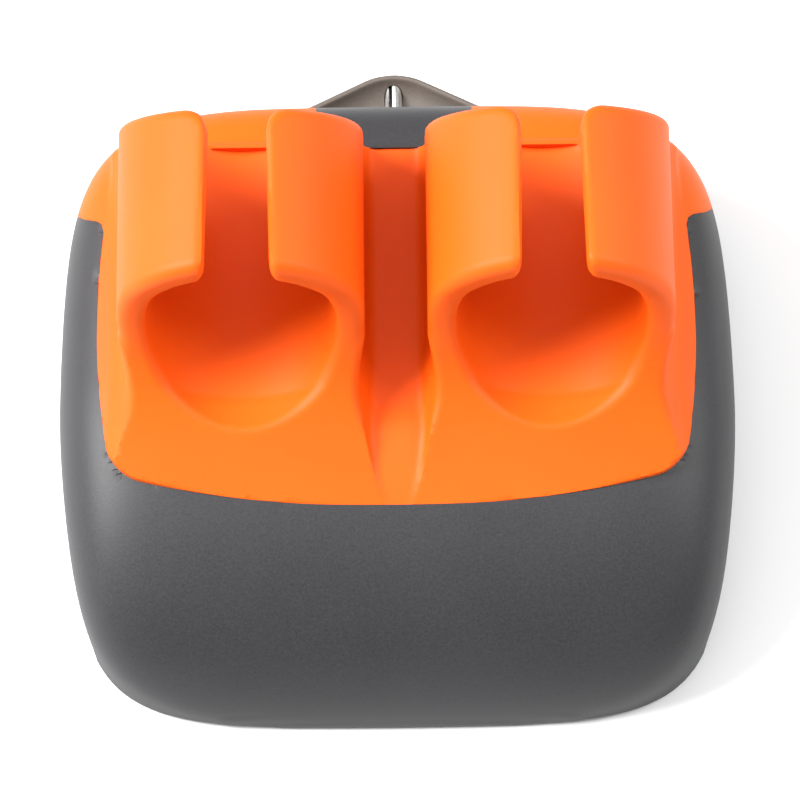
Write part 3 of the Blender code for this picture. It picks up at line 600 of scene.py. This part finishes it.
def springPin(low, high):
    # A wall section, with its corners turned, carried round the pin's axis from one side of the slit
    # to the other.
    p = pinShape
    inner, outer, c = p["bore"], p["radius"], p["chamfer"]
    turn = np.radians([180, 202, 225, 247, 270, 270, 293, 315, 338, 360,
                       0, 22, 45, 67, 90, 90, 112, 135, 158, 180])
    r = c * np.cos(turn) + np.repeat([inner + c, outer - c, outer - c, inner + c], 5)
    y = c * np.sin(turn) + np.repeat([low + c, low + c, high - c, high - c], 5)
    gap = p["slit"] / 2 / p["radius"]
    start = math.radians(p["slitAngle"])
    angle = np.linspace(start + gap, start + math.tau - gap, p["sides"])[:, None]
    points = np.stack([r * np.cos(angle), y + 0 * angle, bladeShape["pivotZ"] + r * np.sin(angle)], -1)
    return closedSurface(points)


makePiece("frontPivotPin", [springPin(19.6, 36.6)], pinSteel, "housing", "front_pivot_pin")
makePiece("rearPivotPin", [springPin(-29.0, -23.2)], pinSteel, "housing", "rear_pivot_pin")


screwShape = {
    "base": 7.68, "headRadius": 1.9, "headHeight": 1.1, "shank": 1.0, "length": 4.8, "threadDepth": 0.16,
    "pitch": 0.8, "crossHalf": 0.28, "crossLong": 1.15, "crossDepth": 0.7,
}


def frameScrew(x, y):
    # A turned form: its radius and height by row, from the middle of the head's face out over the rim,
    # up the shank to the tip. A thread winds up the shank, and two crossed slots sink into the face.
    s = screwShape
    angle = np.linspace(0, math.tau, 64, endpoint=False)[None, :]
    face = np.linspace(0.04, 1, 16)
    faceR = s["headRadius"] * np.sin(face * 1.35) / math.sin(1.35)
    faceZ = 0.5 * (1 - np.cos(face * 1.35)) / (1 - math.cos(1.35))
    shank = np.linspace(0, 1, 60)
    rowR = np.concatenate([faceR, [s["headRadius"], s["headRadius"] - 0.05, s["shank"]],
                           s["shank"] * np.clip((1 - shank) * 5, 0.05, 1)])[:, None]
    rowZ = np.concatenate([faceZ, [s["headHeight"] - 0.05, s["headHeight"], s["headHeight"] + 0.01],
                           s["headHeight"] + 0.02 + s["length"] * shank])[:, None]
    onShank = (np.arange(len(rowR)) > len(faceR) + 3)[:, None]
    thread = s["threadDepth"] * (0.5 + 0.5 * np.cos(math.tau * rowZ / s["pitch"] - angle))
    radius = rowR - np.where(onShank, np.minimum(thread, rowR * 0.5), 0)
    px, py = radius * np.cos(angle), radius * np.sin(angle)
    near, far = np.minimum(np.abs(px), np.abs(py)), np.maximum(np.abs(px), np.abs(py))
    slot = smoothStep((s["crossHalf"] - near) / 0.1 + 0.5) * smoothStep((s["crossLong"] - far) / 0.1 + 0.5)
    onFace = (np.arange(len(rowR)) < len(faceR))[:, None]
    pz = rowZ + np.where(onFace, np.clip(slot, 0, 1) * s["crossDepth"], 0)
    return closedSurface(np.stack([px + x, py + y, pz + s["base"]], -1))


for name, node, (screwX, screwY) in (
        ("screwFrontLeft", "frame_screw_front_left", (-22.5, 15.0)),
        ("screwFrontRight", "frame_screw_front_right", (22.5, 15.0)),
        ("screwRearLeft", "frame_screw_rear_left", (-20.5, -19.0)),
        ("screwRearRight", "frame_screw_rear_right", (20.5, -19.0))):
    makePiece(name, [frameScrew(screwX, screwY)], screwSteel, "housing", node)


stageShape = {"floorHalf": 1.6, "floorColour": "#DCDCDC"}


def buildStage():
    # matte white card, with the very faint mottle of uncoated board
    material, tree, shader = newMaterial("card, uncoated white")
    place = addNode(tree, "TexCoord")
    cloud = addNode(tree, "TexNoise", {"Scale": 30, "Detail": 2}, {"Vector": (place, "Object")})
    tint = addNode(tree, "ValToRGB", links={"Fac": (cloud, "Fac")})
    white = linearColour(stageShape["floorColour"])
    setRamp(tint, [(0.2, tuple(k * 0.99 for k in white[:3]) + (1,)), (0.8, white)])
    tree.links.new(tint.outputs["Color"], shader.inputs["Base Color"])
    shader.inputs["Roughness"].default_value = 0.9
    h = stageShape["floorHalf"]
    mesh = bpy.data.meshes.new("studioFloor")
    mesh.from_pydata([(-h, -h, 0), (h, -h, 0), (h, h, 0), (-h, h, 0)], [], [(0, 1, 2, 3)])
    mesh.materials.append(material)
    floor = bpy.data.objects.new("studioFloor", mesh)
    bpy.context.scene.collection.objects.link(floor)
    floor.location.z = -0.00002


def softBox(name, place, aim, size, power, colour="#FFFFFF"):
    light = bpy.data.lights.new(name, "AREA")
    light.shape, light.size, light.energy = "DISK", size, power
    light.color = linearColour(colour)[:3]
    lamp = bpy.data.objects.new(name, light)
    bpy.context.scene.collection.objects.link(lamp)
    lamp.location = place
    lamp.rotation_mode = "QUATERNION"
    lamp.rotation_quaternion = (Vector(aim) - Vector(place)).to_track_quat("-Z", "Y")


def buildCamera():
    # long lens, looking down over the rear of the body
    view = {"elevation": 69.0, "distance": 0.45, "target": (0.0003, -0.0066, 0.022), "roll": -0.7,
            "lens": 191.4}
    angle = math.radians(view["elevation"])
    forward = Vector((0, math.cos(angle), -math.sin(angle)))
    camera = bpy.data.objects.new("studioCamera", bpy.data.cameras.new("studioCamera"))
    bpy.context.scene.collection.objects.link(camera)
    camera.data.lens = view["lens"]
    camera.data.clip_start = 0.01
    place = Vector(view["target"]) - forward * view["distance"]
    turn = forward.to_track_quat("-Z", "Y").to_matrix() @ Matrix.Rotation(math.radians(view["roll"]), 3, "Z")
    camera.matrix_world = Matrix.Translation(place) @ turn.to_4x4()
    bpy.context.scene.camera = camera


buildStage()
softBox("leftBox", (-0.72, 0.05, 0.62), (0, 0, 0.02), 0.5, 23.5)
softBox("rightBox", (0.72, 0.1, 0.62), (0, 0, 0.02), 0.6, 7.5)
softBox("topBox", (0, 0.2, 1.15), (0, 0, 0.02), 1.5, 9.5)
world = bpy.data.worlds.new("studioWorld")
world.use_nodes = True
world.node_tree.nodes["Background"].inputs["Color"].default_value = (1, 1, 1, 1)
world.node_tree.nodes["Background"].inputs["Strength"].default_value = 0.4
bpy.context.scene.world = world
bpy.context.scene.view_settings.view_transform = "Standard"
buildCamera()
print("stage, light and camera set")
